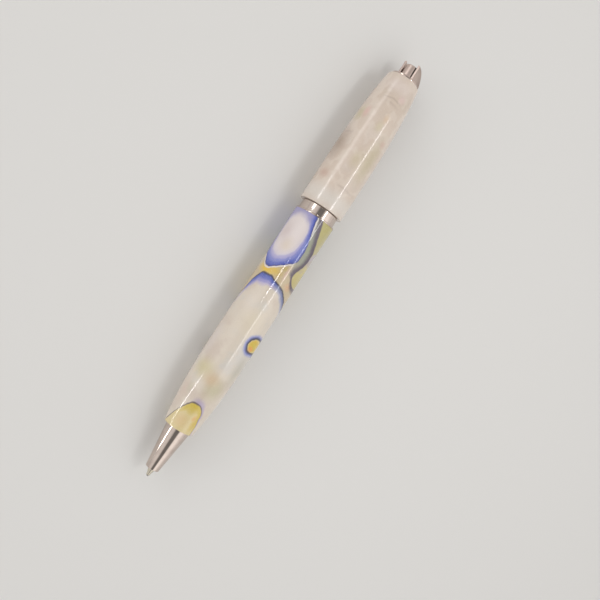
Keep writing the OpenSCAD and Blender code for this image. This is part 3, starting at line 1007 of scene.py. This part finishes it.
place_piece("nose", nose_cone(), "lower", "chrome", CHROME, "nose_cone")
place_piece(
    "lower_resin_barrel", lower_barrel(), "lower", "lower_resin", LOWER_RESIN, "lower_barrel"
)
place_piece("ring", trim_ring(), "lower", "chrome", CHROME, "trim_ring")
place_piece("band", centre_band(), "lower", "chrome", CHROME, "centre_band")
place_piece("cap_resin_barrel", upper_barrel(), "cap", "cap_resin", CAP_RESIN, "upper_barrel")
place_piece("pocket_clip", clip(), "cap", "chrome", HEAD_CHROME, "clip")
place_piece(
    "clip_ball", ball(CLIP_BALL_R, (BALL_OUT, 0, BALL_H), 48, 32), "cap", "chrome", HEAD_CHROME
)
place_piece("finial_stub", finial(), "cap", "chrome", HEAD_CHROME, "finial")
place_piece("refill_point", refill_point(), "refill", "steel", NICKEL, "refill_tip")
place_piece(
    "rolling_ball", ball(BALL_R, (0, 0, BALL_R - POINT_OUT), 32, 24),
    "refill", "steel", CARBIDE, "writing_ball",
)

# The pieces of the mechanism keep their solids and get their finish
for node, material in (
    ("lower_tube", BRASS), ("guide_sleeve", BRASS), ("cam_tube", STEEL), ("cam_retainer", STEEL),
    ("cap_bush", ACETAL), ("refill_carrier", ACETAL), ("cross_pin", STEEL), ("refill_tube", STEEL),
    ("ink", INK), ("upper_tube", BRASS), ("top_plug", BRASS),
):
    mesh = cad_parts[node].data
    mesh.materials.clear()
    mesh.materials.append(material)


# ---- Floor, light and camera ----


def stage_floor():
    """A large pale floor with the faintest unevenness."""
    shape = bmesh.new()
    bmesh.ops.create_circle(shape, cap_ends=True, segments=96, radius=30.0)
    floor = as_object("floor", shape)
    material, tree, shader = new_material("pale_floor", Roughness=0.75)
    coordinate = tree.nodes.new("ShaderNodeTexCoord")
    noise = grain(tree, Field(tree, coordinate.outputs["Object"]), 3.0, 1.0)
    feed(
        tree, layer(tree, paint(227, 226, 224), paint(229, 228, 226), noise.rise(0.3, 0.7)),
        shader.inputs["Base Color"],
    )
    floor.data.materials.append(material)


def place_on_pen(degrees_round, distance, height):
    """A point at this angle round from the camera's side, this far from the axis, in mm."""
    angle = math.radians(degrees_round)
    return FACE @ Vector((distance * math.cos(angle), distance * math.sin(angle), height))


GRID = math.radians(35)  # no light leaves a lamp at more than this angle


def mirror_height(lamp_height):
    """How far up the pen the camera sees a lamp mirrored, from how far up the lamp stands."""
    return 37 + 0.24 * lamp_height


def soft_light(name, degrees_round, distance, height, length, width, brightness, lean=0.0):
    """A soft lamp along the pen, or leaning from it by some degrees; 1 is a white wall's light.

    A grid in front of it keeps its light near the pen.
    """
    lamp = bpy.data.lights.new(name, "AREA")
    lamp.shape = "RECTANGLE"
    lamp.size, lamp.size_y = width * MM, length * MM
    lamp.spread = 2 * GRID
    let_through = 1 - GRID / math.tan(GRID)
    lamp.energy = brightness * math.pi * lamp.size * lamp.size_y * let_through
    light = bpy.data.objects.new(name, lamp)
    bpy.context.scene.collection.objects.link(light)
    spot = place_on_pen(degrees_round, distance, height)
    towards = (place_on_pen(0, 0, mirror_height(height)) - spot).normalized()
    across = PEN_UP.cross(-towards).normalized()
    along = across.cross(towards)
    lean = math.radians(lean)
    along, across = (
        along * math.cos(lean) + across * math.sin(lean),
        across * math.cos(lean) - along * math.sin(lean),
    )
    turn = Matrix((across, along, -towards)).transposed()
    light.matrix_world = Matrix.Translation(spot) @ turn.to_4x4()


# How bright the studio is by the angle round the pen from the camera's side, 1 being white:
# a darker gap where the camera stands, a soft light to its left, a brighter one to its right
STUDIO_LIGHT = [
    (-180, 0.82), (-90, 0.82), (-60, 0.90), (-38, 0.95), (-20, 0.85), (-8, 0.55), (2, 0.22),
    (22, 0.22), (32, 0.75), (46, 1.25), (80, 1.25), (100, 1.0), (180, 0.82),
]
WALL_LIGHT = 0.82
END_LIGHT = 0.62  # towards the pen's top
FAR_FLOOR = 0.66  # the walls' foot is as bright as the floor far away, so no edge shows
WARM_WHITE = (1.0, 0.982, 0.96, 1.0)


def direction_along(tree, direction, axis):
    """How far the direction points along an axis, from -1 to 1."""
    step = tree.nodes.new("ShaderNodeVectorMath")
    step.operation = "DOT_PRODUCT"
    tree.links.new(direction, step.inputs[0])
    step.inputs[1].default_value = axis
    return Field(tree, step.outputs["Value"])


def studio_walls():
    """Pale walls all round, which pass overhead into the soft light and the darker gap."""
    world = bpy.data.worlds.new("studio")
    bpy.context.scene.world = world
    world.use_nodes = True
    tree = world.node_tree
    direction = tree.nodes.new("ShaderNodeTexCoord").outputs["Generated"]
    facing = direction_along(tree, direction, PEN_OUT)
    aside = direction_along(tree, direction, PEN_ASIDE)
    upward = direction_along(tree, direction, PEN_UP)
    up = direction_along(tree, direction, (0, 0, 1))
    around = aside.math("ARCTAN2", facing) * math.degrees(1)
    overhead = around.follow(STUDIO_LIGHT)
    overhead = overhead + (-overhead + END_LIGHT) * upward.rise(0.34, 0.44) - WALL_LIGHT
    # From the horizon up: the walls' foot, the wall from 0.2 on, and from 0.3 the light overhead
    wall = up.rise(0.0, 0.2) * (WALL_LIGHT - FAR_FLOOR) + FAR_FLOOR
    sky = tree.nodes["Background"]
    sky.inputs["Color"].default_value = WARM_WHITE
    feed(tree, overhead * up.rise(0.3, 0.7) + wall, sky.inputs["Strength"])


def studio():
    """Walls, and the lamps whose reflections are the highlights along the pen."""
    studio_walls()
    # Name, degrees round, distance, height, length and width in mm, brightness, lean
    soft_light("strip_right", 43, 520, 187, 276, 40, 9.0, 11)
    soft_light("strip_low", 34.5, 520, 7, 94, 64, 3.2)
    soft_light("strip_left", -41, 520, 300, 305, 170, 1.9)
    soft_light("strip_rim", -40, 500, 160, 40, 50, 4.2)
    soft_light("strip_foot", -55.5, 520, -172, 292, 26, 14.0, 57)
    soft_light("strip_middle", 6, 620, 79.6, 40, 34, 21.0)
    bpy.context.scene.view_settings.view_transform = "Standard"


def camera():
    """The photograph's view: the pen's axis 33 degrees off upright, seen from its facing side."""
    picture = 600  # pixels across and down
    focal = 680.0  # pixels
    scale = 4.2  # pixels to a millimetre on the pen's axis
    foot_h = 48.8  # height on the pen of the point straight across from the camera
    foot_x, foot_y = 264.8, 294.7  # where that point is in the picture
    foot = Vector(((foot_x - picture / 2) / focal, (picture / 2 - foot_y) / focal, -1.0))
    lean = math.radians(33.0)
    axis = Vector((math.sin(lean), math.cos(lean), 0.0))
    axis.z = axis.x * foot.x + axis.y * foot.y
    axis.normalize()
    back = -foot.normalized()
    seen = Matrix((axis, back, axis.cross(back))).transposed()
    real = Matrix((PEN_UP, PEN_OUT, PEN_UP.cross(PEN_OUT))).transposed()
    turn = real @ seen.transposed()
    lens = bpy.data.cameras.new("view")
    lens.sensor_width = 36.0
    lens.lens = focal / picture * lens.sensor_width
    lens.clip_start, lens.clip_end = 0.005, 50
    view = bpy.data.objects.new("view", lens)
    bpy.context.scene.collection.objects.link(view)
    spot = place_on_pen(0, focal / scale, foot_h)
    view.matrix_world = Matrix.Translation(spot) @ turn.to_4x4()
    bpy.context.scene.camera = view


stage_floor()
studio()
camera()
